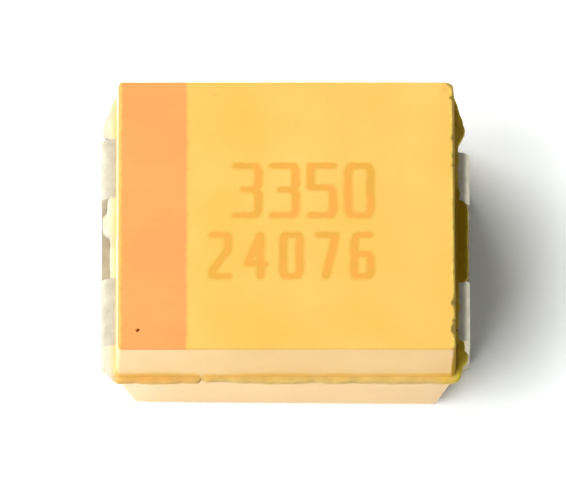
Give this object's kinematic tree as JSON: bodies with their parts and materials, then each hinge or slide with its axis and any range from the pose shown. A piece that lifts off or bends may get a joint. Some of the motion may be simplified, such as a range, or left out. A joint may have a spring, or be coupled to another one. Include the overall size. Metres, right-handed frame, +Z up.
{
  "type": "tantalum chip capacitor",
  "caption": "Moulded surface-mount tantalum capacitor: yellow drafted epoxy block with an orange anode stripe and folded tinned end terminals.",
  "frame": {"origin": "middle of the footprint, on the board plane that the two feet stand on", "axes": "+X along the part from the striped anode end to the cathode end, +Y across it, +Z up away from the board"},
  "size_m": [0.0036, 0.0028, 0.0019],
  "materials": {
    "case_epoxy": "satin",
    "stripe_laser_mark": "satin",
    "tinned_strip": "satin",
    "sintered_tantalum": "matte",
    "tantalum_wire": "satin",
    "ptfe": "matte",
    "manganese_dioxide": "matte",
    "graphite": "satin",
    "silver_paint": "matte"
  },
  "bodies": {
    "root": {"moulded_case": "case_epoxy", "polarity_stripe": "stripe_laser_mark", "anode_terminal": "tinned_strip", "cathode_terminal": "tinned_strip", "tantalum_slug": "sintered_tantalum", "riser_wire": "tantalum_wire", "ptfe_washer": "ptfe", "manganese_dioxide_coat": "manganese_dioxide", "graphite_coat": "graphite", "silver_coat": "silver_paint", "silver_adhesive": "silver_paint"}
  },
  "joints": []
}
